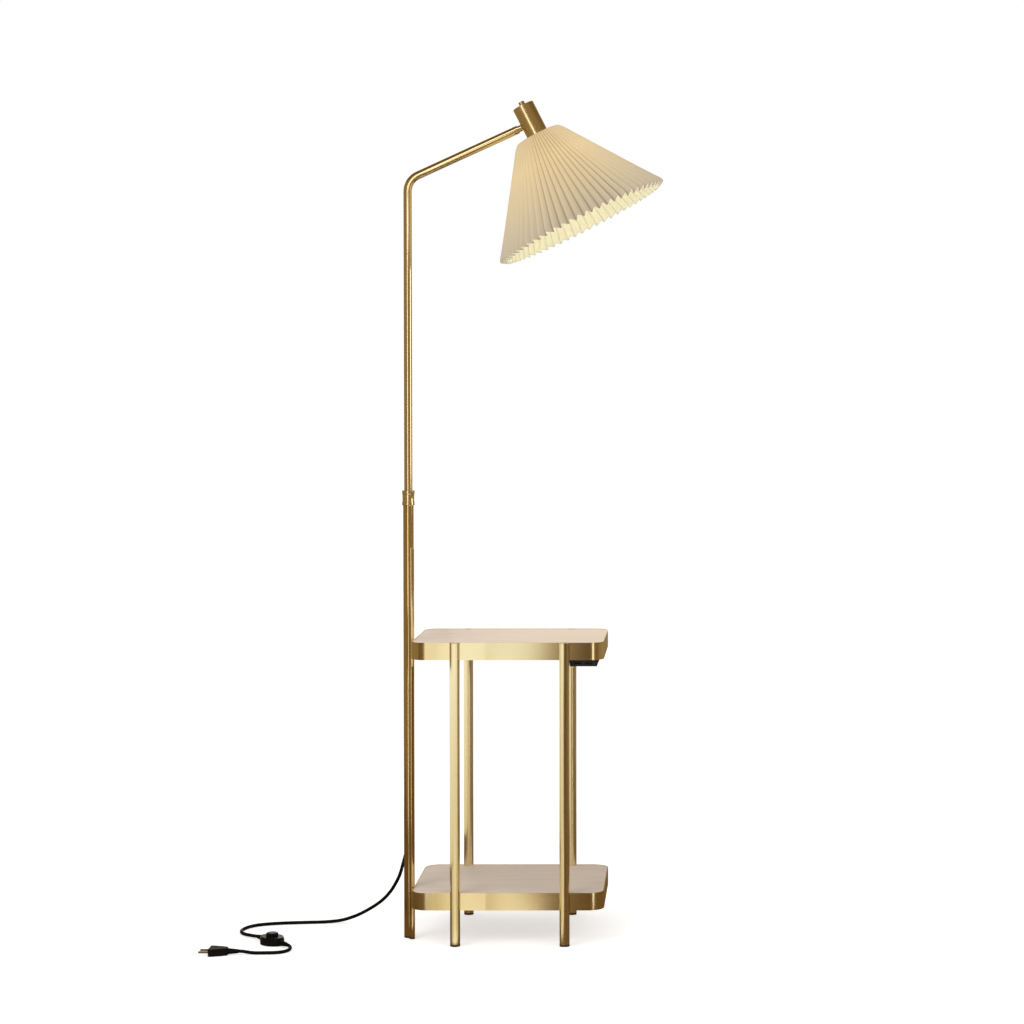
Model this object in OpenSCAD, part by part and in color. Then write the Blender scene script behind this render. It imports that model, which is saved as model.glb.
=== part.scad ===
// Floor lamp with a two-tier side table.
// A telescoping brass post stands on the floor beside the table and carries a bent arm,
// a tilted lamp head and a pleated shade. All sizes are in millimetres.
// The origin lies on the floor, on the post's axis. X points right, Y away from the viewer, Z up.

/* [Table] */
// Height of the upper shelf's top edge
table_h = 575; // [450:5:650]
// Height of the lower shelf's top edge
low_shelf_h = 100.5; // [70:0.5:200]
// Width of each shelf
shelf_w = 366; // [340:2:460]
// Depth of each shelf
shelf_d = 276; // [220:2:340]
// Thickness of each shelf, the height of its edge band
shelf_t = 33; // [22:1:40]
// Radius of each shelf's corners
corner_r = 30; // [15:1:50]
// Thickness of the edge band
band_t = 1.5; // [1:0.1:3]
// How far the band stands above the board that it frames
band_lip = 1; // [0.5:0.1:3]
// How far the shelves reach in front of the post's axis
shelf_front = 74.5; // [60:0.5:100]

/* [Legs] */
// Outer diameter of a leg
leg_d = 19; // [14:0.5:26]
// Wall of a leg's tube
leg_wall = 1.5; // [1:0.1:3]
// From the shelf's left face to the left legs' axes
left_leg_inset = 85; // [60:1:110]
// From the shelf's right face to the right legs' axes
right_leg_inset = 74; // [55:1:110]
// Thickness of the glide under each leg
glide_t = 4; // [2:0.5:8]
// Thickness of the cap on top of each leg
cap_t = 1.6; // [1:0.1:4]
// Length of the spigots on the glides and on the neck
spigot_l = 12; // [8:1:20]
// Length of the spigots under the legs' caps, which end above the studs
cap_spigot_l = 8; // [5:0.5:9]
// Diameter of the studs that tie a leg to a shelf
stud_d = 6; // [4:0.5:8]
// How deep a stud reaches into the shelf
stud_depth = 22; // [12:1:30]

/* [Post] */
// Outer diameter of the lower post
post_d = 20; // [18.6:0.1:22]
// Wall of the lower post
post_wall = 1.2; // [0.8:0.05:1.6]
// Height of the lower post's mouth
post_h = 846; // [800:1:900]
// Height of the collar
collar_h = 29; // [26:1:40]
// Wall of the collar round the post
collar_wall = 1.8; // [1.2:0.1:3]
// Lip of the collar above its pressure ring
collar_lip = 3; // [2:0.5:5]
// How far the collar reaches down over the post's mouth
collar_overlap = 15; // [10:0.5:18]
// Diameter of the stay tube beside the post
stay_d = 10.7; // [8:0.1:13]
// Height of the stay tube with its domed cap
stay_h = 754; // [650:1:790]
// Direction from the post's axis to the stay tube's, in degrees from X
stay_angle = -64; // [-80:1:-50]

/* [Arm] */
// Outer diameter of the upper tube
tube_d = 15.6; // [14:0.1:16]
// Wall of the upper tube
tube_wall = 1.2; // [0.8:0.1:2]
// How far the upper tube reaches down inside the lower post
tube_overlap = 146; // [100:1:156]
// Height of the point where post and arm would cross
elbow_h = 1453; // [1300:1:1550]
// Radius of the bend, to the tube's axis
bend_r = 34; // [28:1:60]
// Rise of the arm above the horizontal, in degrees
arm_rise = 24.5; // [10:0.5:40]
// From the elbow point to the middle of the head, along the arm
arm_reach = 261; // [200:1:340]
// Diameter of the neck at the arm's end
neck_d = 12.4; // [11.6:0.1:13]
// Length of the neck
neck_l = 7; // [4:0.5:12]
// Length of the guide bush on the tube's lower end
bush_l = 25; // [18:1:40]

/* [Head] */
// Tilt of the head from the vertical, in degrees
head_tilt = 27; // [15:0.5:40]
// Diameter of the cup
cup_d = 42; // [40:0.5:54]
// Wall of the cup
cup_wall = 1.5; // [1:0.1:2.5]
// From the arm's axis to the top of the cup
cup_above = 37; // [30:0.5:50]
// From the arm's axis to the cup's mouth
cup_below = 25.7; // [20:0.1:34]
// Diameter of the cap nut on the cup
nut_d = 11.5; // [10:0.5:16]
// Height of the cap nut
nut_h = 8.5; // [5:0.5:14]
// Diameter of the hollow rod that hangs the lamp holder
rod_d = 8; // [6:0.5:9]
// Diameter of the lamp holder's body
holder_d = 26; // [24:0.5:28]
// Diameter of the holder's threaded skirt
skirt_d = 24; // [22:0.5:26]
// Diameter of the globe bulb
bulb_d = 45; // [40:1:60]
// Diameter of the swivel pin
pin_d = 10; // [8:0.5:11]

/* [Shade] */
// Number of pleats
pleats = 64; // [40:2:80]
// Outer diameter of the shade's top
shade_top_d = 93; // [80:1:110]
// Outer diameter of the shade's rim
shade_rim_d = 354; // [280:1:400]
// Height of the shade along its axis
shade_h = 188; // [150:1:220]
// Depth of a pleat at the top
pleat_top = 5; // [3:0.5:7]
// Depth of a pleat at the rim
pleat_rim = 10.5; // [6:0.5:14]
// Lean of each pleat, as a share of its pitch
pleat_lean = 0.12; // [0:0.01:0.25]
// How much further the valleys reach than the ridges at the rim
rim_tooth = 8; // [0:0.5:12]
// Thickness of the film, across the cone
film_t = 1; // [0.6:0.1:2]
// Thickness of the carrier's ring and arms
carrier_t = 2; // [1.5:0.1:4]
// Width of the carrier's arms
carrier_arm_w = 6; // [4:0.5:10]

/* [Charger] */
// Width of the charger along its underside
charger_w = 51; // [44:1:80]
// Depth of the charger
charger_d = 46; // [36:1:60]
// Height of the charger
charger_h = 13.4; // [11:0.1:20]
// How far its right end leans out towards the shelf
charger_slope = 5; // [0:0.5:6]
// How far its left end leans out towards the shelf
charger_slope_left = 2; // [0:0.5:2]
// From the shelf's right face to the right end of its underside
charger_inset = 13; // [8:0.5:20]
// From the shelf's front face to the charger's front
charger_setback = 16; // [12:1:40]
// Width of a socket
socket_w = 12.5; // [10:0.5:15]
// Height of a socket
socket_h = 5; // [4.4:0.1:7]
// Depth of a socket
socket_depth = 10; // [8:0.5:16]

/* [Cord] */
// Diameter of the cord
cord_d = 6.5; // [5:0.5:8]
// Height where the cord leaves the post
cord_exit_h = 178; // [130:1:300]
// Direction in which the cord leaves the post, in degrees from X
cord_exit_turn = 95; // [80:1:150]
// Length of the tapered sleeve where the cord leaves the post
sleeve_l = 20; // [20:1:40]
// Length of the foot switch
switch_l = 58; // [54:1:80]
// Width of the foot switch
switch_w = 42; // [34:1:50]
// Height of the foot switch's case
switch_h = 15; // [14:0.5:24]
// Diameter of the foot switch's button
button_d = 23; // [16:0.5:26]
// How far the button stands out
button_h = 7; // [5:0.5:10]
// Length of the foot switch's strain reliefs
relief_l = 18; // [18:1:40]
// Length of the plug's tapered relief
plug_relief_l = 20; // [20:1:40]
// Length of the plug's body
plug_l = 34; // [28:1:45]
// Width of the plug's face
plug_w = 33; // [28:1:38]
// Thickness of the plug
plug_t = 14; // [12:0.5:18]
// Length of the plug's pins outside its face
pin_l = 19; // [15:1:22]

/* [Hidden] */

// Clearances
gap = 0.3;        // between pieces that stand free of each other
seat = 0.1;       // round a spigot, stud or screw in its hole
slide_fit = 0.05; // radial, in a sliding or turning fit
notch_fit = 0.2;  // between a shelf and the tubes let into it

brass = "#b5925a";
cream = "#e9dfce";
black = "#222222";
steel = "#a9adb0";

// Places that follow from the sizes above
shelf_left = post_d / 2 + gap;
shelf_right = shelf_left + shelf_w;
shelf_back = shelf_d - shelf_front;
left_leg_x = shelf_left + left_leg_inset;
right_leg_x = shelf_right - right_leg_inset;
shelf_tops = [table_h, low_shelf_h];
leg_spots = [[left_leg_x, -shelf_front], [right_leg_x, -shelf_front],
             [left_leg_x, shelf_back], [right_leg_x, shelf_back]];
leg_bore = leg_d - 2 * leg_wall;
leg_top = table_h - cap_t;
post_bore = post_d - 2 * post_wall;
tube_foot = post_h - tube_overlap;
stay_r = (post_d + stay_d) / 2 + gap;
stay_x = stay_r * cos(stay_angle);
stay_y = stay_r * sin(stay_angle);
stay_wall = 1.2;
stay_bore = stay_d - 2 * stay_wall;
stay_top = stay_h - stay_d / 2;
collar_foot = post_h - collar_overlap;
collar_top = collar_foot + collar_h;
collar_d = post_d + 2 * slide_fit + 2 * collar_wall;
tube_bore = tube_d - 2 * tube_wall;
bend_turn = 90 - arm_rise;
bend_reach = bend_r * tan(bend_turn / 2);
pivot_x = arm_reach * cos(arm_rise);
pivot_z = elbow_h + arm_reach * sin(arm_rise);
head_skew = abs(head_tilt - arm_rise);
arm_stop = cup_d / 2 + gap + neck_d / 2 * sin(head_skew);
swivel_nut_d = pin_d + 3;
swivel_nut_t = 2.4;
nut_stop = sqrt(pow(cup_d / 2 - cup_wall, 2) - pow(swivel_nut_d / 2, 2))
    - gap - swivel_nut_d / 2 * sin(head_skew);
pin_in_arm = neck_l + 14;
cup_bore = cup_d - 2 * cup_wall;
carrier_z = -cup_below - gap;
holder_top = 22;
skirt_len = 16;
skirt_foot = carrier_z - skirt_len;
bulb_bore = 14;
bulb_seat = 21;
globe_z = skirt_foot - 6 - bulb_d / 2;
ring_r = shade_top_d / 2 - pleat_top - film_t - gap;
clamp_d = skirt_d + 10;
clamp_t = 5;
shade_top_z = carrier_z;
charger_x = shelf_right - charger_inset - charger_w;
charger_y = charger_setback - shelf_front;
board_foot = table_h - shelf_t;
switch_at = [-254, -57, 0];
switch_turn = 135;
switch_mid = 6.5;
plug_pin_d = 4;
pin_pitch = 18.6;
pin_hole_d = plug_pin_d + 2 * seat;
plug_at = [-301, -145.5, plug_t / 2];
plug_turn = 180;

// Rounded rectangle, its lower left corner at the given point
module rounded_rect(x, y, w, d, r) {
    translate([x + r, y]) square([w - 2 * r, d]);
    translate([x, y + r]) square([w, d - 2 * r]);
    for (cx = [x + r, x + w - r], cy = [y + r, y + d - r])
        translate([cx, cy]) circle(r = r, $fn = 72);
}

// Outline of a shelf, drawn in by the given amount
module shelf_outline(inset = 0) {
    rounded_rect(shelf_left + inset, inset - shelf_front,
                 shelf_w - 2 * inset, shelf_d - 2 * inset, corner_r - inset);
}

// The round notches for the legs and the stay tube
module tube_notches() {
    for (p = leg_spots) translate(p) circle(d = leg_d + 2 * notch_fit, $fn = 64);
    translate([stay_x, stay_y]) circle(d = stay_d + 2 * notch_fit, $fn = 48);
}

// Places of the studs that tie a leg to a shelf, pointing into the shelf
module at_leg_studs(top) {
    for (p = leg_spots)
        translate([p[0], p[1], top - shelf_t / 2])
            rotate([p[1] < 0 ? -90 : 90, 0, 0]) children();
}

// Place of the stud that ties the post to a shelf, pointing into the shelf
module at_post_stud(top) {
    translate([0, 0, top - shelf_t / 2]) rotate([0, 90, 0]) children();
}

module board(top) {
    color(cream) difference() {
        translate([0, 0, top - shelf_t]) linear_extrude(shelf_t - band_lip) difference() {
            shelf_outline(band_t);
            tube_notches();
        }
        at_leg_studs(top) cylinder(d = stud_d + 2 * seat, h = leg_d / 2 + stud_depth + seat, $fn = 32);
        at_post_stud(top) cylinder(d = stud_d + 2 * seat, h = post_d / 2 + stud_depth + seat, $fn = 32);
    }
}

module band(top) {
    color(brass) difference() {
        translate([0, 0, top - shelf_t]) linear_extrude(shelf_t) difference() {
            shelf_outline();
            shelf_outline(band_t);
            tube_notches();
        }
        at_post_stud(top) cylinder(d = stud_d + 2 * seat, h = post_d, $fn = 32);
    }
}

module top_board() {
    difference() {
        board(table_h);
        at_charger_screws() cylinder(d = 3 + 2 * seat, h = 14, $fn = 24);
    }
}
module top_band() band(table_h);
module lower_board() board(low_shelf_h);
module lower_band() band(low_shelf_h);

// A leg: a tube from its glide to its cap, drilled for one stud at each shelf
module leg(i) {
    color(brass) difference() {
        translate([leg_spots[i][0], leg_spots[i][1], glide_t]) difference() {
            cylinder(d = leg_d, h = leg_top - glide_t, $fn = 64);
            translate([0, 0, -1]) cylinder(d = leg_bore, h = table_h, $fn = 64);
        }
        for (top = shelf_tops) at_leg_studs(top) cylinder(d = stud_d + 2 * seat, h = leg_d, $fn = 32);
    }
}
module front_left_leg() leg(0);
module front_right_leg() leg(1);
module rear_left_leg() leg(2);
module rear_right_leg() leg(3);

module leg_caps() {
    color(brass) for (p = leg_spots) translate([p[0], p[1], leg_top]) {
        cylinder(d = leg_d, h = cap_t, $fn = 64);
        translate([0, 0, -cap_spigot_l]) cylinder(d = leg_bore - 2 * seat, h = cap_spigot_l, $fn = 64);
    }
}

module leg_glides() {
    color(black) for (p = leg_spots) translate([p[0], p[1], 0]) {
        cylinder(d = leg_d, h = glide_t, $fn = 64);
        cylinder(d = leg_bore - 2 * seat, h = glide_t + spigot_l, $fn = 64);
    }
}

// Studs with a washer head inside each leg, two to a leg
module leg_studs() {
    color(steel) for (top = shelf_tops) at_leg_studs(top) {
        translate([0, 0, leg_bore / 2 - 2 * leg_wall]) cylinder(d = stud_d + 3, h = leg_wall, $fn = 32);
        translate([0, 0, leg_bore / 2 - leg_wall]) cylinder(d = stud_d, h = leg_wall * 2 + stud_depth, $fn = 32);
    }
}

// Outline of the charger from the front, both ends sloping in towards its foot
module charger_face() {
    polygon([[0, 0], [charger_w, 0], [charger_w + charger_slope, charger_h], [-charger_slope_left, charger_h]]);
}

module at_sockets() {
    for (k = [0.3, 0.7])
        translate([charger_x + k * charger_w, charger_y, board_foot - charger_h / 2]) children();
}

module at_charger_screws() {
    for (k = [0.14, 0.86])
        translate([charger_x + k * charger_w, charger_y + charger_d * 0.72, board_foot]) children();
}

module charger_case() {
    color(black) difference() {
        translate([charger_x, charger_y + charger_d, board_foot - charger_h])
            rotate([90, 0, 0]) linear_extrude(charger_d) charger_face();
        at_sockets() translate([-socket_w / 2, -1, -socket_h / 2]) cube([socket_w, socket_depth + 1, socket_h]);
        at_charger_screws() translate([0, 0, -charger_h - 1])
            cylinder(d = 3 + 2 * seat, h = charger_h + 2, $fn = 24);
        at_charger_screws() translate([0, 0, -charger_h - 1]) cylinder(d = 6.4, h = 3.4, $fn = 32);
    }
}

// The contact tongue in each socket
module charger_tongues() {
    color(black) at_sockets()
        translate([-socket_w / 2 + 0.6, 1, -0.2]) cube([socket_w - 1.2, socket_depth - 1, 1.8]);
}

module charger_screws() {
    color(steel) at_charger_screws() {
        translate([0, 0, -charger_h + 0.2]) cylinder(d = 6, h = 2.2, $fn = 32);
        translate([0, 0, -charger_h + 2]) cylinder(d = 3, h = charger_h + 10, $fn = 24);
    }
}

module lower_post() {
    color(brass) difference() {
        translate([0, 0, glide_t]) cylinder(d = post_d, h = post_h - glide_t, $fn = 72);
        cylinder(d = post_bore, h = post_h + 1, $fn = 72);
        for (top = shelf_tops) at_post_stud(top) cylinder(d = stud_d + 2 * seat, h = post_d, $fn = 32);
        at_cord_exit() cylinder(d = cord_d + 4, h = post_d, $fn = 40);
    }
}

module post_glide() {
    color(black) {
        cylinder(d = post_d, h = glide_t, $fn = 72);
        cylinder(d = post_bore - 2 * seat, h = glide_t + spigot_l, $fn = 72);
    }
}

// Studs that hold the post to the shelves, with a washer head inside the tube
module post_studs() {
    color(steel) for (top = shelf_tops) at_post_stud(top) {
        translate([0, 0, post_bore / 2 - 3]) cylinder(d = stud_d + 3, h = 1.6, $fn = 32);
        translate([0, 0, post_bore / 2 - 1.5]) cylinder(d = stud_d, h = stud_depth + 1.5 + post_wall, $fn = 32);
    }
}

module stay_tube() {
    color(brass) translate([stay_x, stay_y, glide_t]) difference() {
        cylinder(d = stay_d, h = stay_top - glide_t, $fn = 48);
        translate([0, 0, -1]) cylinder(d = stay_bore, h = stay_h, $fn = 48);
    }
}

// Domed cap of the stay tube
module stay_cap() {
    color(brass) translate([stay_x, stay_y, stay_top]) {
        rotate_extrude($fn = 48) intersection() {
            circle(d = stay_d, $fn = 48);
            square(stay_d);
        }
        translate([0, 0, -spigot_l]) cylinder(d = stay_bore - 2 * seat, h = spigot_l, $fn = 48);
    }
}

module stay_glide() {
    color(black) translate([stay_x, stay_y, 0]) {
        cylinder(d = stay_d, h = glide_t, $fn = 48);
        cylinder(d = stay_bore - 2 * seat, h = glide_t + spigot_l, $fn = 48);
    }
}

// Split ring that the collar presses on to the upper tube
module pressure_ring() {
    color(black) translate([0, 0, post_h]) difference() {
        cylinder(d = post_d - 0.2, h = collar_top - collar_lip - post_h - gap, $fn = 72);
        translate([0, 0, -1]) cylinder(d = tube_d + 2 * slide_fit, h = collar_h, $fn = 72);
        translate([0, -0.6, -1]) cube([post_d, 1.2, collar_h]);
    }
}

// Where the cord leaves the post, with Z pointing out
module at_cord_exit() {
    translate([0, 0, cord_exit_h]) rotate([0, 90, cord_exit_turn]) children();
}

// Bushing in the post's wall with a flange and a tapered sleeve
module cord_grommet() {
    color(black) at_cord_exit() difference() {
        union() {
            translate([0, 0, post_bore / 2 - 1]) cylinder(d = cord_d + 4 - 2 * seat, h = post_wall + 2, $fn = 40);
            translate([0, 0, post_d / 2 + gap]) cylinder(d = cord_d + 6, h = 1.6, $fn = 40);
            translate([0, 0, post_d / 2 + gap]) cylinder(d1 = cord_d + 4, d2 = cord_d + 1, h = sleeve_l, $fn = 40);
        }
        cylinder(d = cord_d, h = post_d / 2 + gap + 1.6, $fn = 40);
    }
}

// Collar nut with a shallow waist between two bevelled rims
module post_collar() {
    r = collar_d / 2;
    color(brass) translate([0, 0, collar_foot]) difference() {
        rotate_extrude($fn = 72) polygon([
            [0, 0], [r - 0.8, 0], [r, 0.8], [r, 6], [r - 0.7, 8], [r - 0.7, collar_h - 8],
            [r, collar_h - 6], [r, collar_h - 0.8], [r - 0.8, collar_h], [0, collar_h]]);
        translate([0, 0, -1])
            cylinder(d = post_d + 2 * slide_fit, h = collar_h - collar_lip + 1, $fn = 72);
        cylinder(d = tube_d + 4 * slide_fit, h = collar_h + 1, $fn = 72);
    }
}

// Sleeve that guides the foot of the upper tube, with a rim under the tube's end
module guide_bush() {
    color(black) translate([0, 0, tube_foot]) difference() {
        translate([0, 0, -3]) cylinder(d = post_bore - 2 * slide_fit, h = bush_l + 3, $fn = 72);
        cylinder(d = tube_d + 2 * slide_fit, h = bush_l + 1, $fn = 72);
        translate([0, 0, -4]) cylinder(d = tube_bore - 1, h = 5, $fn = 72);
    }
}

// Carries its children from the elbow to the arm's axis, with their Z along the arm
module on_arm_axis() {
    translate([0, 0, elbow_h]) rotate([0, bend_turn, 0]) children();
}

// The bent tube's path, for a given diameter
module bent_tube(d, end) {
    translate([0, 0, tube_foot + gap - end]) cylinder(d = d, h = elbow_h - bend_reach - tube_foot - gap + end, $fn = 72);
    translate([bend_r, 0, elbow_h - bend_reach]) rotate([90, 0, 0]) rotate([0, 0, 180 - bend_turn])
        rotate_extrude(angle = bend_turn, $fn = 96) translate([bend_r, 0]) circle(d = d, $fn = 72);
    on_arm_axis() translate([0, 0, bend_reach])
        cylinder(d = d, h = arm_reach - bend_reach - arm_stop - neck_l + end, $fn = 72);
}

module upper_post() {
    color(brass) difference() {
        bent_tube(tube_d, 0);
        bent_tube(tube_bore, 1);
    }
}

module arm_neck() {
    color(brass) on_arm_axis() translate([0, 0, arm_reach - arm_stop - neck_l]) difference() {
        union() {
            cylinder(d = neck_d, h = neck_l, $fn = 64);
            translate([0, 0, -spigot_l]) cylinder(d = tube_bore - 2 * seat, h = spigot_l + 0.01, $fn = 64);
        }
        translate([0, 0, -spigot_l - 1]) cylinder(d = pin_d, h = spigot_l + neck_l + 2, $fn = 48);
    }
}

// Hollow pin on the arm's axis, on which the head turns
module swivel_pin() {
    color(steel) on_arm_axis() translate([0, 0, arm_reach - arm_stop - pin_in_arm]) difference() {
        cylinder(d = pin_d - 2 * slide_fit, h = pin_in_arm + arm_stop - nut_stop + swivel_nut_t, $fn = 48);
        translate([0, 0, -1]) cylinder(d = pin_d - 3, h = pin_in_arm + cup_d, $fn = 48);
    }
}

// Flat nut that keeps the head on its pin
module swivel_nut() {
    color(steel) on_arm_axis() translate([0, 0, arm_reach - nut_stop]) difference() {
        cylinder(d = swivel_nut_d, h = swivel_nut_t, $fn = 48);
        translate([0, 0, -1]) cylinder(d = pin_d - 2 * slide_fit + 0.02, h = 5, $fn = 48);
    }
}

// Head coordinates: the origin where the arm's axis meets the head's, Z up along the cup
module in_head() {
    translate([pivot_x, 0, pivot_z]) rotate([0, -head_tilt, 0]) children();
}

module head_cup() {
    color(brass) difference() {
        in_head() difference() {
            translate([0, 0, -cup_below]) cylinder(d = cup_d, h = cup_below + cup_above, $fn = 96);
            translate([0, 0, -cup_below - 1])
                cylinder(d = cup_bore, h = cup_below + cup_above - cup_wall + 1, $fn = 96);
            cylinder(d = rod_d + 2 * seat, h = cup_above + 1, $fn = 40);
        }
        on_arm_axis() translate([0, 0, arm_reach - cup_d]) cylinder(d = pin_d, h = cup_d, $fn = 48);
    }
}

module cap_nut() {
    color(brass) in_head() translate([0, 0, cup_above]) rotate_extrude($fn = 64)
        polygon([[0, 0], [nut_d / 2, 0], [nut_d / 2, nut_h - 0.8], [nut_d / 2 - 0.8, nut_h], [0, nut_h]]);
}

module holder_rod() {
    color(steel) in_head() translate([0, 0, holder_top]) cylinder(d = rod_d, h = cup_above - holder_top, $fn = 40);
}

// Lamp holder: body, threaded skirt, and the bore for the bulb's cap
module lamp_holder() {
    color("#f1eee6") in_head() difference() {
        rotate_extrude($fn = 72) polygon([
            [0, skirt_foot], [skirt_d / 2, skirt_foot], [skirt_d / 2, carrier_z + gap],
            [holder_d / 2, carrier_z + gap], [holder_d / 2, holder_top - 6], [7, holder_top], [0, holder_top]]);
        translate([0, 0, skirt_foot - 1]) cylinder(d = bulb_bore + 2 * seat, h = bulb_seat + 1 + 0.5, $fn = 48);
    }
}

// Ring that clamps the shade's carrier against the lamp holder
module clamp_ring() {
    color("#f1eee6") in_head() translate([0, 0, carrier_z - carrier_t - clamp_t]) difference() {
        cylinder(d = clamp_d, h = clamp_t, $fn = 72);
        translate([0, 0, -1]) cylinder(d = skirt_d + 2 * seat, h = clamp_t + 2, $fn = 72);
    }
}

// Wheel with three arms, whose rim the pleats are laced to
module shade_carrier() {
    color(steel) in_head() translate([0, 0, carrier_z - carrier_t]) difference() {
        union() {
            difference() {
                cylinder(r = ring_r, h = carrier_t, $fn = 96);
                translate([0, 0, -1]) cylinder(r = ring_r - 4, h = carrier_t + 2, $fn = 96);
            }
            cylinder(d = clamp_d, h = carrier_t, $fn = 72);
            for (a = [30, 150, 270]) rotate(a)
                translate([0, -carrier_arm_w / 2, 0]) cube([ring_r - 2, carrier_arm_w, carrier_t]);
        }
        translate([0, 0, -1]) cylinder(d = skirt_d + 2 * seat, h = carrier_t + 2, $fn = 72);
    }
}

// One level of the folded film: a point for each ridge and each valley
function fold_ring(r, depth, z_ridge, z_valley) = [
    for (i = [0 : pleats - 1], k = [0, 1])
        let (a = 360 * (i + k * (0.5 + pleat_lean)) / pleats)
        let (rr = r - k * depth)
        [rr * cos(a), rr * sin(a), k == 0 ? z_ridge : z_valley]
];

// The pleated film: folds that run straight from the top edge to a toothed rim
module shade_pleats() {
    n = 2 * pleats;
    foot = shade_top_z - shade_h;
    rings = concat(
        fold_ring(shade_rim_d / 2, pleat_rim, foot + rim_tooth / 2, foot - rim_tooth / 2),
        fold_ring(shade_top_d / 2, pleat_top, shade_top_z, shade_top_z),
        fold_ring(shade_top_d / 2 - film_t, pleat_top, shade_top_z, shade_top_z),
        fold_ring(shade_rim_d / 2 - film_t, pleat_rim, foot + rim_tooth / 2, foot - rim_tooth / 2));
    strips = [
        for (level = [0 : 3], i = [0 : n - 1])
            let (a = level * n, b = ((level + 1) % 4) * n, j = (i + 1) % n)
            each [[a + i, b + i, b + j], [a + i, b + j, a + j]]
    ];
    color("#e8d9b4") in_head() polyhedron(points = rings, faces = strips, convexity = 10);
}

module bulb_base() {
    color(steel) in_head() translate([0, 0, skirt_foot - 2]) cylinder(d = bulb_bore, h = bulb_seat + 2, $fn = 48);
}

// Globe with a short neck
module bulb_globe() {
    neck_r = bulb_bore / 2 + 3;
    dip = sqrt(pow(bulb_d / 2, 2) - pow(neck_r, 2));
    color("#fff4d6") in_head() {
        translate([0, 0, globe_z]) sphere(d = bulb_d, $fn = 72);
        translate([0, 0, globe_z + dip - 1]) cylinder(r = neck_r, h = skirt_foot - 2 - globe_z - dip + 1, $fn = 64);
    }
}

// Free stretch of cord: a round tube swept along hand-set points
function unit(v) = v / norm(v);
function curve_point(p, i, t) =
    let (a = p[max(i - 1, 0)], b = p[i], c = p[i + 1], d = p[min(i + 2, len(p) - 1)])
    0.5 * (2 * b + (c - a) * t + (2 * a - 5 * b + 4 * c - d) * t * t + (3 * b - a - 3 * c + d) * t * t * t);
function curve(p, steps) = [
    for (i = [0 : len(p) - 2], k = [0 : steps - 1]) curve_point(p, i, k / steps),
    p[len(p) - 1]
];
function heading(c, i) = unit(c[min(i + 1, len(c) - 1)] - c[max(i - 1, 0)]);

module swept_cord(route, steps, start, end, sides = 10) {
    c = curve(route, steps);
    n = len(c);
    pts = [
        for (i = [0 : n - 1])
            let (h = i == 0 ? start : (i == n - 1 ? end : heading(c, i)))
            let (s = unit(cross(h, [0, 0, 1])))
            let (u = cross(s, h))
            for (k = [0 : sides - 1])
                c[i] + (cord_d / 2) * (cos(360 * k / sides) * s + sin(360 * k / sides) * u)
    ];
    walls = [
        for (i = [0 : n - 2], k = [0 : sides - 1])
            let (a = i * sides, b = a + sides, j = (k + 1) % sides)
            each [[a + k, a + j, b + j], [a + k, b + j, b + k]]
    ];
    ends = [[for (k = [sides - 1 : -1 : 0]) k], [for (k = [0 : sides - 1]) (n - 1) * sides + k]];
    polyhedron(points = pts, faces = concat(walls, ends), convexity = 10);
}

exit_dir = [cos(cord_exit_turn), sin(cord_exit_turn), 0];
cord_exit = (post_d / 2 + gap + sleeve_l) * exit_dir + [0, 0, cord_exit_h];
lay_z = cord_d / 2 + 0.2;
switch_dir = [cos(switch_turn), sin(switch_turn), 0];
switch_in = switch_at + (switch_l / 2 + relief_l) * switch_dir + [0, 0, switch_mid];
switch_out = switch_at - (switch_l / 2 + relief_l) * switch_dir + [0, 0, switch_mid];

// From the post down to the floor, round behind and back to the switch
to_switch_route = [
    cord_exit, [-3.1, 36, 177.7], [-4.9, 46, 175.6], [-7.2, 55, 170.2], [-10.3, 62.2, 161.3], [-14, 66.3, 150.5],
    [-17.6, 67.8, 139], [-22, 68.6, 122.5], [-27.5, 70.5, 105.2], [-35.7, 75.5, 88.5], [-47.5, 82.5, 70],
    [-65, 92, 51], [-89, 104, 33], [-118, 115, 16.5], [-148, 119, 6.3], [-180, 116, lay_z], [-217, 111, lay_z],
    [-254, 106, lay_z], [-286, 98, lay_z], [-311, 85, lay_z], [-326, 63, lay_z], [-330, 36, lay_z],
    [-319, 7.5, 4.2], switch_in
];

module cord_to_switch() {
    color(black) swept_cord(to_switch_route, 2, exit_dir, -switch_dir);
}

module in_switch() {
    translate(switch_at) rotate([0, 0, switch_turn]) children();
}

// Oval outline of the foot switch, lying along its own X
module switch_oval(inset = 0) {
    r = (pow(switch_l / 2, 2) + pow(switch_w / 2, 2)) / switch_w;
    intersection() {
        translate([0, r - switch_w / 2]) circle(r = r - inset, $fn = 120);
        translate([0, switch_w / 2 - r]) circle(r = r - inset, $fn = 120);
        square([switch_l - 2 * inset - 4, switch_w], center = true);
    }
}

module switch_base() {
    color(black) in_switch() difference() {
        linear_extrude(switch_h * 0.45) switch_oval();
        for (s = [-1, 1]) translate([s * switch_l * 0.3, 0, -1]) cylinder(d = 3 + 2 * seat, h = switch_h, $fn = 24);
    }
}

module switch_cover() {
    color(black) in_switch() difference() {
        union() {
            translate([0, 0, switch_h * 0.45]) linear_extrude(switch_h * 0.35) switch_oval();
            translate([0, 0, switch_h * 0.8]) linear_extrude(switch_h * 0.2) switch_oval(1.6);
        }
        translate([0, 0, switch_h * 0.6]) cylinder(d = button_d + 4 * slide_fit, h = switch_h, $fn = 64);
        for (s = [-1, 1]) translate([s * switch_l * 0.3, 0, 0]) cylinder(d = 3 + 2 * seat, h = switch_h * 0.8, $fn = 24);
    }
}

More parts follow.
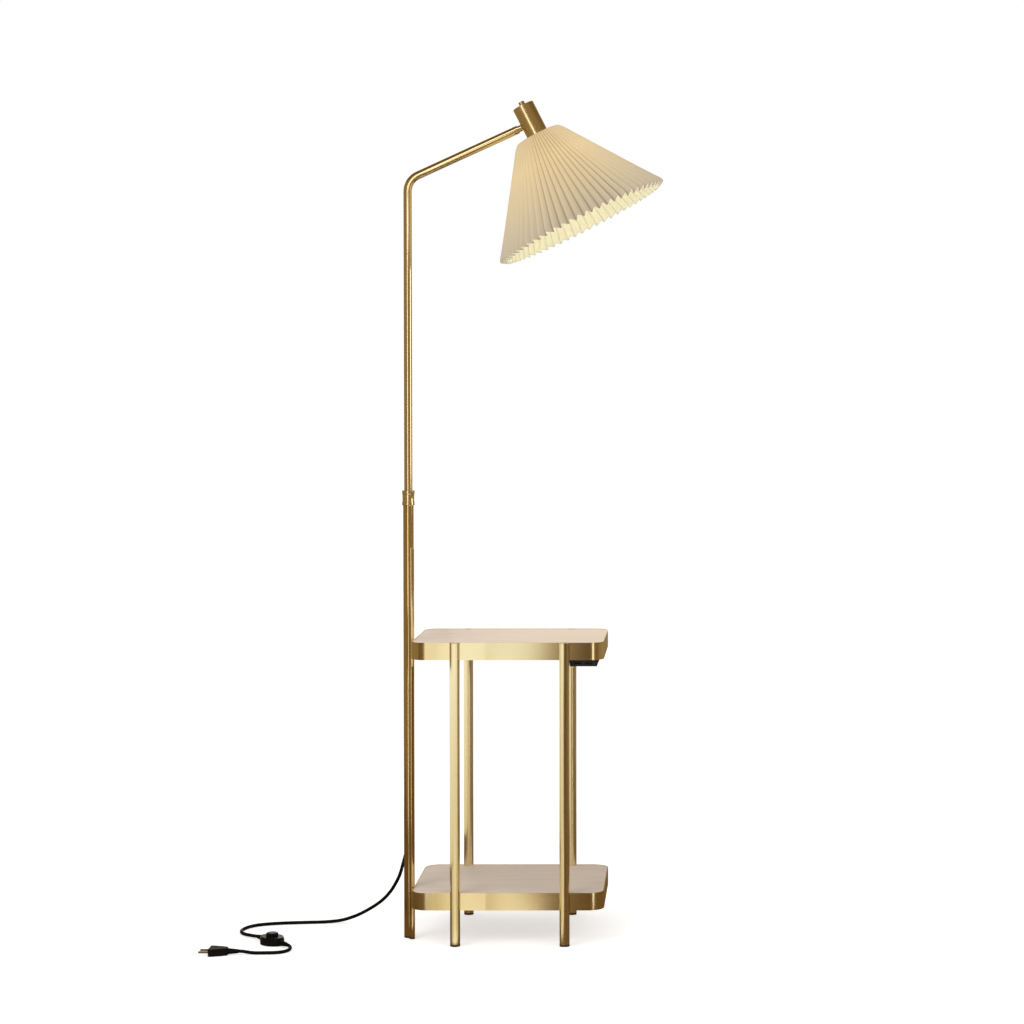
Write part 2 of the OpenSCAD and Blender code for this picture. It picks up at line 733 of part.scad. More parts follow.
module switch_button() {
    top = switch_h + button_h;
    color(black) in_switch() translate([0, 0, switch_h * 0.6 + 3.5])
        rotate_extrude($fn = 64) polygon([
            [0, 0], [button_d / 2, 0], [button_d / 2, top - switch_h * 0.6 - 5],
            [button_d / 2 - 1.5, top - switch_h * 0.6 - 3.5], [0, top - switch_h * 0.6 - 3.5]]);
}

// Tapered reliefs at both ends of the switch
module switch_reliefs() {
    color(black) for (s = [-1, 1]) translate([0, 0, switch_mid]) in_switch()
        translate([s * (switch_l / 2 - 2), 0, 0]) rotate([0, s * 90, 0])
            cylinder(d1 = cord_d + 5, d2 = cord_d + 1, h = relief_l + 2, $fn = 40);
}

module switch_screws() {
    color(steel) in_switch() for (s = [-1, 1]) translate([s * switch_l * 0.3, 0, 0.4])
        cylinder(d = 3, h = switch_h * 0.65, $fn = 24);
}

plug_dir = [cos(plug_turn), sin(plug_turn), 0];

// From the switch in a bend along the floor to the plug
from_switch_route = [
    switch_out, [-214.1, -98.8, 5.7], [-211, -108.1, 4.8], [-211, -117.5, 4], [-213.9, -126.4, lay_z],
    [-219.4, -134, lay_z], [-226.5, -139.3, lay_z], [-234.7, -142.1, lay_z], [-245, -143.3, lay_z],
    [-256, -143.8, lay_z], [-267, -144.3, lay_z], [-277, -144.8, 4.1], [-285.5, -145.2, 5.4],
    [-293.3, -145.4, 6.6], plug_at
];

module cord_to_plug() {
    color(black) swept_cord(from_switch_route, 3, -switch_dir, plug_dir);
}

// Plug coordinates: Z along the pins, X up from the floor
module in_plug() {
    translate(plug_at) rotate([0, 0, plug_turn]) rotate([0, 90, 0]) rotate([0, 0, 180]) children();
}

module plug_relief() {
    color(black) in_plug() cylinder(d1 = cord_d + 1, d2 = cord_d + 5, h = plug_relief_l, $fn = 40);
}

// Flat plug that flares towards its face and steps in round the grip
module plug_body() {
    half = plug_w / 2;
    color(black) in_plug() translate([0, 0, plug_relief_l]) difference() {
        translate([plug_t / 2, 0, 0]) rotate([0, -90, 0]) linear_extrude(plug_t) polygon([
            [0, -6], [plug_l * 0.35, -half + 5], [plug_l - 12, -half + 2], [plug_l - 7, -half], [plug_l, -half],
            [plug_l, half], [plug_l - 7, half], [plug_l - 12, half - 2], [plug_l * 0.35, half - 5], [0, 6]]);
        for (s = [-1, 1]) translate([0, s * pin_pitch / 2, plug_l - 8]) cylinder(d = pin_hole_d, h = 9, $fn = 32);
    }
}

module plug_pins() {
    color(steel) in_plug() translate([0, 0, plug_relief_l + plug_l - 8 + seat]) for (s = [-1, 1])
        translate([0, s * pin_pitch / 2, 0]) cylinder(d = plug_pin_d, h = 8 - seat + pin_l, $fn = 32);
}

top_board();
top_band();
lower_board();
lower_band();
front_left_leg();
front_right_leg();
rear_left_leg();
rear_right_leg();
leg_caps();
leg_glides();
leg_studs();
charger_case();
charger_tongues();
charger_screws();
lower_post();
post_glide();
post_studs();
stay_tube();
stay_cap();
stay_glide();
pressure_ring();
cord_grommet();
post_collar();
guide_bush();
upper_post();
arm_neck();
swivel_pin();
swivel_nut();
head_cup();
cap_nut();
holder_rod();
lamp_holder();
clamp_ring();
shade_carrier();
shade_pleats();
bulb_base();
bulb_globe();
cord_to_switch();
switch_base();
switch_cover();
switch_button();
switch_reliefs();
switch_screws();
cord_to_plug();
plug_body();
plug_pins();
plug_relief();
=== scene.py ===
"""Looks of a brass floor lamp with a two-tier side table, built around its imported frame."""
import math

import bmesh
import bpy
from mathutils import Matrix, Vector


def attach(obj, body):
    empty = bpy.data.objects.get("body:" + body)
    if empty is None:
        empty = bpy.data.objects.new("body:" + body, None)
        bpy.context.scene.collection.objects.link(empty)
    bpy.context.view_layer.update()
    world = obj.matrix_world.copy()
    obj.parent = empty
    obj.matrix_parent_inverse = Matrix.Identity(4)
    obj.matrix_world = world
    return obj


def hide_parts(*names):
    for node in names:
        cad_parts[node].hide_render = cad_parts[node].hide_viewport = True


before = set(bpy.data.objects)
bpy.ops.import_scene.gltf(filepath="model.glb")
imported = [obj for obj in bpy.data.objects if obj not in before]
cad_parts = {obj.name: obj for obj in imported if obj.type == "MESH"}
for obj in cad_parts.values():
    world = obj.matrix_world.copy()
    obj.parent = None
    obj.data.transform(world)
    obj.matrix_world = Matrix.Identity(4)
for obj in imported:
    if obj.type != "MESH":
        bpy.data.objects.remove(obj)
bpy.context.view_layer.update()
scene = bpy.context.scene
MM = 0.001

# The camera stands 4.5 m in front, 1.04 m up, and looks along +Y with a long lens. A small
# shift and tilt put the lamp where it stands in the picture.
cam_place = Vector((0.540, -4.504, 1.036))
cam_lens = 82.7
cam_shift = (-0.174, -0.060)
cam_tilt = math.radians(-1.27)
cam_data = bpy.data.cameras.new("front_camera")
cam_data.sensor_width = 36.0
cam_data.lens = cam_lens
cam_data.shift_x, cam_data.shift_y = cam_shift
camera = bpy.data.objects.new("front_camera", cam_data)
camera.location = cam_place
camera.rotation_euler = (math.radians(90) + cam_tilt, 0, 0)
scene.collection.objects.link(camera)
scene.camera = camera
scene.view_settings.view_transform = "Standard"

# The flex: black rubber, 6.5 mm thick. It leaves a sleeve behind the post, drops to the floor,
# swings out to the foot switch, and loops round to the plug. Its routes are in millimetres.
flex_r = 3.25 * MM
lay_z = 3.45
curve_steps = 6


def rubber(name, shade, rough, shine=0.5):
    """Rubber or moulded plastic in one shade, with a fine grain in its gloss."""
    mat = bpy.data.materials.new(name)
    mat.use_nodes = True
    nodes, links = mat.node_tree.nodes, mat.node_tree.links
    bsdf = nodes["Principled BSDF"]
    coord = nodes.new("ShaderNodeTexCoord")
    grain = nodes.new("ShaderNodeTexNoise")
    grain.inputs["Scale"].default_value = 900.0
    grain.inputs["Detail"].default_value = 4.0
    tone = nodes.new("ShaderNodeMapRange")
    gloss_swing = 0.06
    tone.inputs["To Min"].default_value = rough - gloss_swing
    tone.inputs["To Max"].default_value = rough + gloss_swing
    bump = nodes.new("ShaderNodeBump")
    bump.inputs["Strength"].default_value = 0.12
    bump.inputs["Distance"].default_value = 0.0002
    links.new(coord.outputs["Object"], grain.inputs["Vector"])
    links.new(grain.outputs["Fac"], tone.inputs["Value"])
    links.new(tone.outputs["Result"], bsdf.inputs["Roughness"])
    links.new(grain.outputs["Fac"], bump.inputs["Height"])
    links.new(bump.outputs["Normal"], bsdf.inputs["Normal"])
    bsdf.inputs["Base Color"].default_value = (*shade, 1)
    bsdf.inputs["Specular IOR Level"].default_value = shine
    return mat


flex_rubber = rubber("flex_rubber", (0.004, 0.004, 0.004), 0.5, 0.12)


def spline_points(route, steps):
    """The points of the smooth curve that the CAD's tube follows."""
    out = []
    last = len(route) - 1
    for i in range(last):
        a, b = Vector(route[max(i - 1, 0)]), Vector(route[i])
        c, d = Vector(route[i + 1]), Vector(route[min(i + 2, last)])
        for k in range(steps):
            t = k / steps
            out.append(0.5 * (2 * b + (c - a) * t + (2 * a - 5 * b + 4 * c - d) * t * t
                              + (3 * b - a - 3 * c + d) * t ** 3))
    return out + [Vector(route[last])]


def flex(name, route, node):
    """A round cord along the smooth curve through its route, in place of the CAD's tube."""
    data = bpy.data.curves.new(name, "CURVE")
    data.dimensions = "3D"
    data.bevel_depth = flex_r
    data.bevel_resolution = 5
    data.use_fill_caps = True
    points = spline_points(route, curve_steps)
    line = data.splines.new("POLY")
    line.points.add(len(points) - 1)
    for spot, place in zip(line.points, points):
        spot.co = (*(place * MM), 1)
    line.use_smooth = True
    piece = bpy.data.objects.new(name, data)
    scene.collection.objects.link(piece)
    data.materials.append(flex_rubber)
    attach(piece, "base")
    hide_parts(node)
    total = sum((b - a).length for a, b in zip(points, points[1:])) * MM
    return piece, total


exit_turn = math.radians(95)
exit_reach = 30.3
exit_z = 178
exit_point = (exit_reach * math.cos(exit_turn), exit_reach * math.sin(exit_turn), exit_z)
switch_turn = math.radians(135)
switch_ahead = Vector((math.cos(switch_turn), math.sin(switch_turn), 0))
switch_mid = Vector((-254, -57, 6.5))
switch_mouth = 47.0
switch_in = switch_mid + switch_mouth * switch_ahead
switch_out = switch_mid - switch_mouth * switch_ahead
plug_back = (-301, -145.5, 7)
to_switch = [
    exit_point, (-3.1, 36, 177.7), (-4.9, 46, 175.6), (-7.2, 55, 170.2), (-10.3, 62.2, 161.3),
    (-14, 66.3, 150.5), (-17.6, 67.8, 139), (-22, 68.6, 122.5), (-27.5, 70.5, 105.2),
    (-35.7, 75.5, 88.5), (-47.5, 82.5, 70), (-65, 92, 51), (-89, 104, 33), (-118, 115, 16.5),
    (-148, 119, 6.3), (-180, 116, lay_z), (-217, 111, lay_z), (-254, 106, lay_z),
    (-286, 98, lay_z), (-311, 85, lay_z), (-326, 63, lay_z), (-330, 36, lay_z),
    (-319, 7.5, 4.2), tuple(switch_in)]
to_plug = [
    tuple(switch_out), (-214.1, -98.8, 5.7), (-211, -108.1, 4.8), (-211, -117.5, 4),
    (-213.9, -126.4, lay_z), (-219.4, -134, lay_z), (-226.5, -139.3, lay_z),
    (-234.7, -142.1, lay_z), (-245, -143.3, lay_z), (-256, -143.8, lay_z),
    (-267, -144.3, lay_z), (-277, -144.8, 4.1), (-285.5, -145.2, 5.4),
    (-293.3, -145.4, 6.6), plug_back]
upper_flex, upper_len = flex("flex_to_switch", to_switch, "cord_to_switch")
lower_flex, lower_len = flex("flex_to_plug", to_plug, "cord_to_plug")
print("flex lengths", round(upper_len, 3), round(lower_len, 3))

# The shelves: pressed board under a matt cream veneer with a faint pink cast and a fine grain
# along its length. The veneer's tone drifts a little from place to place.
cream_veneer = bpy.data.materials.new("cream_veneer")
cream_veneer.use_nodes = True
nodes, links = cream_veneer.node_tree.nodes, cream_veneer.node_tree.links
veneer = nodes["Principled BSDF"]
veneer.inputs["Specular IOR Level"].default_value = 0.2
coord = nodes.new("ShaderNodeTexCoord")
along_grain = nodes.new("ShaderNodeMapping")
along_grain.inputs["Scale"].default_value = (3.0, 60.0, 60.0)
figure = nodes.new("ShaderNodeTexNoise")
figure.inputs["Scale"].default_value = 2.2
figure.inputs["Detail"].default_value = 6.0
figure.inputs["Distortion"].default_value = 0.6
pores = nodes.new("ShaderNodeTexNoise")
pores.inputs["Scale"].default_value = 14.0
pores.inputs["Detail"].default_value = 3.0
cloud = nodes.new("ShaderNodeTexNoise")
cloud.inputs["Scale"].default_value = 7.0
tone = nodes.new("ShaderNodeValToRGB")
tone.color_ramp.elements[0].position = 0.30
tone.color_ramp.elements[0].color = (0.700, 0.588, 0.490, 1)
tone.color_ramp.elements[1].position = 0.72
tone.color_ramp.elements[1].color = (0.800, 0.690, 0.590, 1)
warmth = nodes.new("ShaderNodeMix")
warmth.data_type = "RGBA"
warmth.blend_type = "MULTIPLY"
warmth.inputs["B"].default_value = (0.965, 0.955, 0.95, 1)
sheen_spread = nodes.new("ShaderNodeMapRange")
sheen_spread.inputs["To Min"].default_value = 0.36
sheen_spread.inputs["To Max"].default_value = 0.52
veneer_bump = nodes.new("ShaderNodeBump")
veneer_bump.inputs["Strength"].default_value = 0.10
veneer_bump.inputs["Distance"].default_value = 0.0002
links.new(coord.outputs["Object"], along_grain.inputs["Vector"])
links.new(along_grain.outputs["Vector"], figure.inputs["Vector"])
links.new(along_grain.outputs["Vector"], pores.inputs["Vector"])
links.new(coord.outputs["Object"], cloud.inputs["Vector"])
links.new(figure.outputs["Fac"], tone.inputs["Fac"])
links.new(cloud.outputs["Fac"], warmth.inputs["Factor"])
links.new(tone.outputs["Color"], warmth.inputs["A"])
links.new(warmth.outputs["Result"], veneer.inputs["Base Color"])
links.new(pores.outputs["Fac"], sheen_spread.inputs["Value"])
links.new(sheen_spread.outputs["Result"], veneer.inputs["Roughness"])
links.new(pores.outputs["Fac"], veneer_bump.inputs["Height"])
links.new(veneer_bump.outputs["Normal"], veneer.inputs["Normal"])


def dress(finish, *names):
    """Gives solids of the frame their finish."""
    for name in names:
        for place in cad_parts[name].material_slots:
            place.material = finish


dress(cream_veneer, "top_board", "lower_board")

# The strips round the shelves: brass sheet 1.5 mm thick, brushed lengthwise, lacquered, bent
# round the corners and notched where the tubes are let in. They stand 1 mm above the boards.
brush = bpy.data.node_groups.new("brushed_brass", "ShaderNodeTree")
for title, side, kind in (
        ("Place", "INPUT", "NodeSocketVector"), ("Pale", "INPUT", "NodeSocketColor"),
        ("Deep", "INPUT", "NodeSocketColor"), ("Gloss", "INPUT", "NodeSocketFloat"),
        ("Color", "OUTPUT", "NodeSocketColor"), ("Roughness", "OUTPUT", "NodeSocketFloat"),
        ("Lines", "OUTPUT", "NodeSocketFloat")):
    brush.interface.new_socket(title, in_out=side, socket_type=kind)
inlet = brush.nodes.new("NodeGroupInput")
outlet = brush.nodes.new("NodeGroupOutput")
hair = brush.nodes.new("ShaderNodeTexNoise")
hair.inputs["Scale"].default_value = 1.0
hair.inputs["Detail"].default_value = 5.0
hair.inputs["Roughness"].default_value = 0.7
patch = brush.nodes.new("ShaderNodeTexNoise")
patch.inputs["Scale"].default_value = 0.035
patch.inputs["Detail"].default_value = 2.0
hair_share = 0.55
both = brush.nodes.new("ShaderNodeMath")
both.operation = "MULTIPLY_ADD"
both.inputs[1].default_value = 1 - hair_share
shares = brush.nodes.new("ShaderNodeMath")
shares.operation = "MULTIPLY"
shares.inputs[1].default_value = hair_share
blend_tone = brush.nodes.new("ShaderNodeMix")
blend_tone.data_type = "RGBA"
haze = brush.nodes.new("ShaderNodeMapRange")
haze.inputs["From Min"].default_value = 0.3
haze.inputs["From Max"].default_value = 0.7
haze.inputs["To Min"].default_value = -0.03
haze.inputs["To Max"].default_value = 0.03
spread = brush.nodes.new("ShaderNodeMath")
spread.operation = "ADD"
wire = brush.links.new
wire(inlet.outputs["Place"], hair.inputs["Vector"])
wire(inlet.outputs["Place"], patch.inputs["Vector"])
wire(hair.outputs["Fac"], shares.inputs[0])
wire(patch.outputs["Fac"], both.inputs[0])
wire(shares.outputs["Value"], both.inputs[2])
wire(both.outputs["Value"], blend_tone.inputs["Factor"])
wire(inlet.outputs["Deep"], blend_tone.inputs["A"])
wire(inlet.outputs["Pale"], blend_tone.inputs["B"])
wire(hair.outputs["Fac"], haze.inputs["Value"])
wire(haze.outputs["Result"], spread.inputs[0])
wire(inlet.outputs["Gloss"], spread.inputs[1])
wire(blend_tone.outputs["Result"], outlet.inputs["Color"])
wire(spread.outputs["Value"], outlet.inputs["Roughness"])
wire(hair.outputs["Fac"], outlet.inputs["Lines"])


def brass(name, stretch, pale, deep, gloss, turn=(0, 0, 0), relief=0.08):
    """Brushed metal, with its brush lines along the direction that stretch leaves long."""
    mat = bpy.data.materials.new(name)
    mat.use_nodes = True
    tree = mat.node_tree
    bsdf = tree.nodes["Principled BSDF"]
    bsdf.inputs["Metallic"].default_value = 1.0
    coord = tree.nodes.new("ShaderNodeTexCoord")
    turned = tree.nodes.new("ShaderNodeMapping")
    turned.vector_type = "TEXTURE"
    turned.inputs["Rotation"].default_value = turn
    longer = tree.nodes.new("ShaderNodeMapping")
    longer.inputs["Scale"].default_value = stretch
    finish = tree.nodes.new("ShaderNodeGroup")
    finish.node_tree = brush
    finish.inputs["Pale"].default_value = (*pale, 1)
    finish.inputs["Deep"].default_value = (*deep, 1)
    finish.inputs["Gloss"].default_value = gloss
    bump = tree.nodes.new("ShaderNodeBump")
    bump.inputs["Strength"].default_value = relief
    bump.inputs["Distance"].default_value = 0.0001
    tree.links.new(coord.outputs["Object"], turned.inputs["Vector"])
    tree.links.new(turned.outputs["Vector"], longer.inputs["Vector"])
    tree.links.new(longer.outputs["Vector"], finish.inputs["Place"])
    tree.links.new(finish.outputs["Color"], bsdf.inputs["Base Color"])
    tree.links.new(finish.outputs["Roughness"], bsdf.inputs["Roughness"])
    tree.links.new(finish.outputs["Lines"], bump.inputs["Height"])
    tree.links.new(bump.outputs["Normal"], bsdf.inputs["Normal"])
    return mat


sharp_edge = math.radians(32)
flat_edge = math.radians(0.5)
merge_gap = 0.002 * MM


def eased(node, body, finish, width, segments=2):
    """A copy of a solid with its sharp edges rounded, in the solid's place."""
    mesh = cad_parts[node].data.copy()
    mesh.name = node + "_eased"
    shape = bmesh.new()
    shape.from_mesh(mesh)
    bmesh.ops.remove_doubles(shape, verts=shape.verts, dist=merge_gap)
    bmesh.ops.dissolve_limit(shape, angle_limit=flat_edge, verts=shape.verts, edges=shape.edges)
    for face in shape.faces:
        face.smooth = True
    for edge in shape.edges:
        edge.smooth = not edge.is_manifold or edge.calc_face_angle() < sharp_edge
    shape.to_mesh(mesh)
    shape.free()
    mesh.materials.clear()
    mesh.materials.append(finish)
    piece = bpy.data.objects.new(node + "_eased", mesh)
    scene.collection.objects.link(piece)
    rounding = piece.modifiers.new("rounding", "BEVEL")
    rounding.limit_method = "ANGLE"
    rounding.angle_limit = sharp_edge
    rounding.width = width
    rounding.segments = segments
    rounding.harden_normals = True
    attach(piece, body)
    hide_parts(node)
    return piece


strip_brass = brass("strip_brass", (8, 8, 1400), (0.93, 0.80, 0.50), (0.84, 0.68, 0.36), 0.24)
for strip in ("top_band", "lower_band"):
    eased(strip, "base", strip_brass, 0.45 * MM)

# The four legs: brass tube 19 mm across with a fine lengthwise satin finish, closed by flat
# brass caps on top and standing on black nylon glides.
drawn = (800, 800, 4)
leg_brass = brass("leg_brass", drawn, (0.95, 0.84, 0.55), (0.88, 0.74, 0.43), 0.28, relief=0.01)
dress(leg_brass, "front_left_leg", "front_right_leg", "rear_left_leg", "rear_right_leg")
eased("leg_caps", "base", leg_brass, 0.4 * MM)
glide_nylon = rubber("glide_nylon", (0.05, 0.042, 0.03), 0.45)
dress(glide_nylon, "leg_glides", "post_glide", "stay_glide")

# The post with its thin stay: brass tubes drawn lengthwise, a little darker than the legs as
# painted shade for the dim reflections they catch. The stay ends in a domed cap, and the post's
# twist collar is turned from solid brass. The screws, studs, pins and the shade's wheel are steel,
# and the hidden slide rings are black nylon.
post_brass = brass("post_brass", drawn, (0.80, 0.62, 0.34), (0.74, 0.56, 0.29), 0.13, relief=0.0)
dress(post_brass, "lower_post", "stay_tube", "stay_cap")
turned_brass = brass("turned_brass", (8, 8, 1600), (0.93, 0.80, 0.53), (0.84, 0.68, 0.38), 0.22)
eased("post_collar", "collar", turned_brass, 0.25 * MM)
steel_grey = brass("steel_grey", (400, 400, 400), (0.62, 0.62, 0.61), (0.50, 0.50, 0.50), 0.3)
dress(steel_grey, "leg_studs", "post_studs", "switch_screws", "charger_screws", "holder_rod",
      "swivel_pin", "swivel_nut", "plug_pins", "bulb_base", "shade_carrier")
nylon_black = rubber("nylon_black", (0.02, 0.02, 0.02), 0.42)
dress(nylon_black, "pressure_ring", "guide_bush", "charger_tongues")
dress(flex_rubber, "cord_grommet")

# The sliding tube with its bend and arm, in one length of brass tube, and the neck at its end.
tube_brass = brass("tube_brass", drawn, (0.92, 0.77, 0.48), (0.86, 0.70, 0.41), 0.13, relief=0.0)
dress(tube_brass, "upper_post", "arm_neck")

# The head: a spun brass cup, closed on top, with a turned cap nut that holds the lamp holder.
# in_head takes a place in the head's own axes, from the swivel, to its place in the room.
head_tilt = math.radians(27)
pivot = Vector((237.5, 0, 1561.23)) * MM
in_head = Matrix.Translation(pivot) @ Matrix.Rotation(-head_tilt, 4, "Y")
cup_brass = brass("cup_brass", (1200, 1200, 7), (0.92, 0.77, 0.48), (0.84, 0.67, 0.38), 0.24,
                  turn=(0, -head_tilt, 0), relief=0.02)
eased("head_cup", "head", cup_brass, 0.5 * MM)
eased("cap_nut", "head", turned_brass, 0.3 * MM)
holder_white = rubber("holder_white", (0.75, 0.72, 0.66), 0.4)
dress(holder_white, "lamp_holder", "clamp_ring")

# The shade: one long strip of ivory film, creased into 64 leaning pleats, held by the wheel at
# its top and left free at its toothed rim. The bulb's light through it is a painted glow, with
# painted shade in its creases. Its sizes are in millimetres on the head's own axis, and in_head
# takes it to its place.
pleats = 64
top_r, rim_r = 46.5, 177.0
top_z, rim_z = -26.0, -214.0
top_fold, rim_fold = 5.0, 10.5
tooth = 6.5
lip = 2.5
film = 0.6
fold_line = [(0.0, 0.0), (0.07, 0.03), (0.24, 0.34), (0.42, 0.70), (0.56, 0.96), (0.62, 1.0),
             (0.67, 0.95), (0.80, 0.50), (0.93, 0.04)]
edge_share = 0.05
levels = [0, 0.017, 0.034, 0.05] + [0.1 + 0.09 * i for i in range(10)] + [0.95, 0.967, 0.984, 1.0]
pleated = bmesh.new()
down = pleated.verts.layers.float.new("down")
fold = pleated.verts.layers.float.new("fold")
seat = pleated.verts.layers.int.new("seat")
bmesh.ops.create_circle(pleated, segments=pleats * len(fold_line), radius=1.0)
for i, spot in enumerate(pleated.verts):
    spot[seat] = i


def place_ring(ring, t):
    """Sets one ring of the film's points at the share t of the way from top to rim."""
    radius = top_r + (rim_r - top_r) * t
    depth = top_fold + (rim_fold - top_fold) * t
    rim_turn = lip * max(0.0, (t - (1 - edge_share)) / edge_share) ** 2
    top_turn = lip * max(0.0, (edge_share - t) / edge_share) ** 2
    for spot in ring:
        pleat, step = divmod(spot[seat], len(fold_line))
        share, sink = fold_line[step]
        turn = math.tau * (pleat + share) / pleats
        r = radius - depth * sink - rim_turn - top_turn
        z = top_z + (rim_z - top_z) * t + (tooth / 2 - tooth * sink) * t ** 8
        spot.co = Vector((r * math.cos(turn), r * math.sin(turn), z))
        spot[down] = t
        spot[fold] = sink


place_ring(pleated.verts, 0.0)
edge_loop = pleated.edges[:]
for level in levels[1:]:
    grown = bmesh.ops.extrude_edge_only(pleated, edges=edge_loop)["geom"]
    ring = {part for part in grown if isinstance(part, bmesh.types.BMVert)}
    edge_loop = [part for part in grown
                 if isinstance(part, bmesh.types.BMEdge) and set(part.verts) <= ring]
    place_ring(ring, level)
bmesh.ops.recalc_face_normals(pleated, faces=pleated.faces)
facing = sum(f.normal.dot(Vector((*f.calc_center_median().xy, 0))) for f in pleated.faces)
if facing < 0:
    bmesh.ops.reverse_faces(pleated, faces=pleated.faces)
bmesh.ops.solidify(pleated, geom=pleated.faces[:], thickness=film)
for face in pleated.faces:
    face.smooth = True
    inward = face.normal.dot(Vector((*face.calc_center_median().xy, 0))) < 0
    face.material_index = int(inward)
pleated.transform(in_head @ Matrix.Scale(MM, 4))
shade_mesh = bpy.data.meshes.new("pleated_shade")
pleated.to_mesh(shade_mesh)
pleated.free()
shade = bpy.data.objects.new("pleated_shade", shade_mesh)
scene.collection.objects.link(shade)


def ivory_film(name, ridge, valley_shade, glow, rough):
    """Ivory film with painted shade darkening its creases, and the bulb's light as a painted glow.
    """
    mat = bpy.data.materials.new(name)
    mat.use_nodes = True
    tree = mat.node_tree
    bsdf = tree.nodes["Principled BSDF"]
    bsdf.inputs["Emission Strength"].default_value = 1.0
    bsdf.inputs["Roughness"].default_value = rough
    # Painted shade: the colour darkens to valley_shade in the creases, and the glow dims there too.
    creased = tree.nodes.new("ShaderNodeAttribute")
    creased.attribute_name = "fold"
    painted_crease_shade = tree.nodes.new("ShaderNodeValToRGB")
    painted_crease_shade.color_ramp.elements[0].position = 0.80
    painted_crease_shade.color_ramp.elements[0].color = (*ridge, 1)
    painted_crease_shade.color_ramp.elements[1].position = 1.0
    painted_crease_shade.color_ramp.elements[1].color = (*valley_shade, 1)
    # Painted light: the bulb's glow, set along the film from top to rim by the glow stops.
    lower = tree.nodes.new("ShaderNodeAttribute")
    lower.attribute_name = "down"
    light = tree.nodes.new("ShaderNodeValToRGB")
    while len(light.color_ramp.elements) < len(glow):
        light.color_ramp.elements.new(0.5)
    for stop, (position, colour) in zip(light.color_ramp.elements, glow):
        stop.position = position
        stop.color = (*colour, 1)
    shaded = tree.nodes.new("ShaderNodeMix")
    shaded.data_type = "RGBA"
    shaded.blend_type = "MULTIPLY"
    shaded.inputs["Factor"].default_value = 0.45
    coord = tree.nodes.new("ShaderNodeTexCoord")
    fibre = tree.nodes.new("ShaderNodeTexNoise")
    fibre.inputs["Scale"].default_value = 1400.0
    fibre.inputs["Detail"].default_value = 3.0
    tooth_bump = tree.nodes.new("ShaderNodeBump")
    tooth_bump.inputs["Strength"].default_value = 0.15
    tooth_bump.inputs["Distance"].default_value = 0.0001
    tree.links.new(creased.outputs["Fac"], painted_crease_shade.inputs["Fac"])
    tree.links.new(painted_crease_shade.outputs["Color"], bsdf.inputs["Base Color"])
    tree.links.new(lower.outputs["Fac"], light.inputs["Fac"])
    tree.links.new(light.outputs["Color"], shaded.inputs["A"])
    dim = tree.nodes.new("ShaderNodeMapRange")
    dim.inputs["From Min"].default_value = 0.80
    dim.inputs["To Min"].default_value = 1.0
    dim.inputs["To Max"].default_value = 0.1
    tree.links.new(creased.outputs["Fac"], dim.inputs["Value"])
    tree.links.new(dim.outputs["Result"], shaded.inputs["B"])
    tree.links.new(shaded.outputs["Result"], bsdf.inputs["Emission Color"])
    tree.links.new(coord.outputs["Object"], fibre.inputs["Vector"])
    tree.links.new(fibre.outputs["Fac"], tooth_bump.inputs["Height"])
    tree.links.new(tooth_bump.outputs["Normal"], bsdf.inputs["Normal"])
    return mat


# Two copies of one film: the inside copy is paler and glows more, painted light from the bulb.
shade_mesh.materials.append(ivory_film(
    "film_outside", (0.42, 0.37, 0.27), (0.26, 0.20, 0.12),
    [(0.0, (0.33, 0.235, 0.10)), (0.30, (0.41, 0.29, 0.12)),
     (0.65, (0.31, 0.225, 0.112)), (1.0, (0.19, 0.15, 0.11))],
    0.55))
shade_mesh.materials.append(ivory_film(
    "film_inside", (0.74, 0.71, 0.56), (0.66, 0.61, 0.44),
    [(0.0, (0.5, 0.44, 0.30)), (0.5, (0.40, 0.37, 0.26)),
     (0.9, (0.25, 0.235, 0.16)), (1.0, (0.24, 0.23, 0.16))],
    0.6))
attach(shade, "head")
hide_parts("shade_pleats")

# The bulb: an opal glass globe with a warm light. A small lamp just below it lights the film's
# inside, and a wide spot below that lights the table. Both ride with the shade.
bulb_depth = 0.112
spill_depth = 0.16
opal_glass = bpy.data.materials.new("opal_glass")
opal_glass.use_nodes = True
opal_tree = opal_glass.node_tree
opal = opal_tree.nodes["Principled BSDF"]
opal.inputs["Roughness"].default_value = 0.25
opal.inputs["Emission Strength"].default_value = 2.2
opal_cloud = opal_tree.nodes.new("ShaderNodeTexNoise")
opal_cloud.inputs["Scale"].default_value = 40.0
opal_tone = opal_tree.nodes.new("ShaderNodeValToRGB")
opal_tone.color_ramp.elements[0].color = (1.0, 0.84, 0.58, 1)
opal_tone.color_ramp.elements[1].color = (1.0, 0.90, 0.70, 1)
opal_coord = opal_tree.nodes.new("ShaderNodeTexCoord")
opal_tree.links.new(opal_coord.outputs["Object"], opal_cloud.inputs["Vector"])
opal_tree.links.new(opal_cloud.outputs["Fac"], opal_tone.inputs["Fac"])
opal_tree.links.new(opal_tone.outputs["Color"], opal.inputs["Base Color"])
opal_tree.links.new(opal_tone.outputs["Color"], opal.inputs["Emission Color"])
dress(opal_glass, "bulb_globe")
bulb_light = bpy.data.lights.new("bulb_light", "POINT")
bulb_light.energy = 0.22
bulb_light.color = (1.0, 0.86, 0.62)
bulb_light.shadow_soft_size = 0.02
bulb_lamp = bpy.data.objects.new("bulb_light", bulb_light)
bulb_lamp.location = in_head @ Vector((0, 0, -bulb_depth))
bulb_lamp.parent = shade
scene.collection.objects.link(bulb_lamp)
spill = bpy.data.lights.new("spill", "SPOT")
spill.energy = 9.0
spill.color = (1.0, 0.88, 0.70)
spill.spot_size = math.radians(116)
spill.spot_blend = 0.7
spill.shadow_soft_size = 0.08
spill_lamp = bpy.data.objects.new("spill", spill)
spill_lamp.location = in_head @ Vector((0, 0, -spill_depth))
spill_lamp.rotation_euler = (0, -head_tilt, 0)
spill_lamp.visible_glossy = False
spill_lamp.parent = shade
scene.collection.objects.link(spill_lamp)

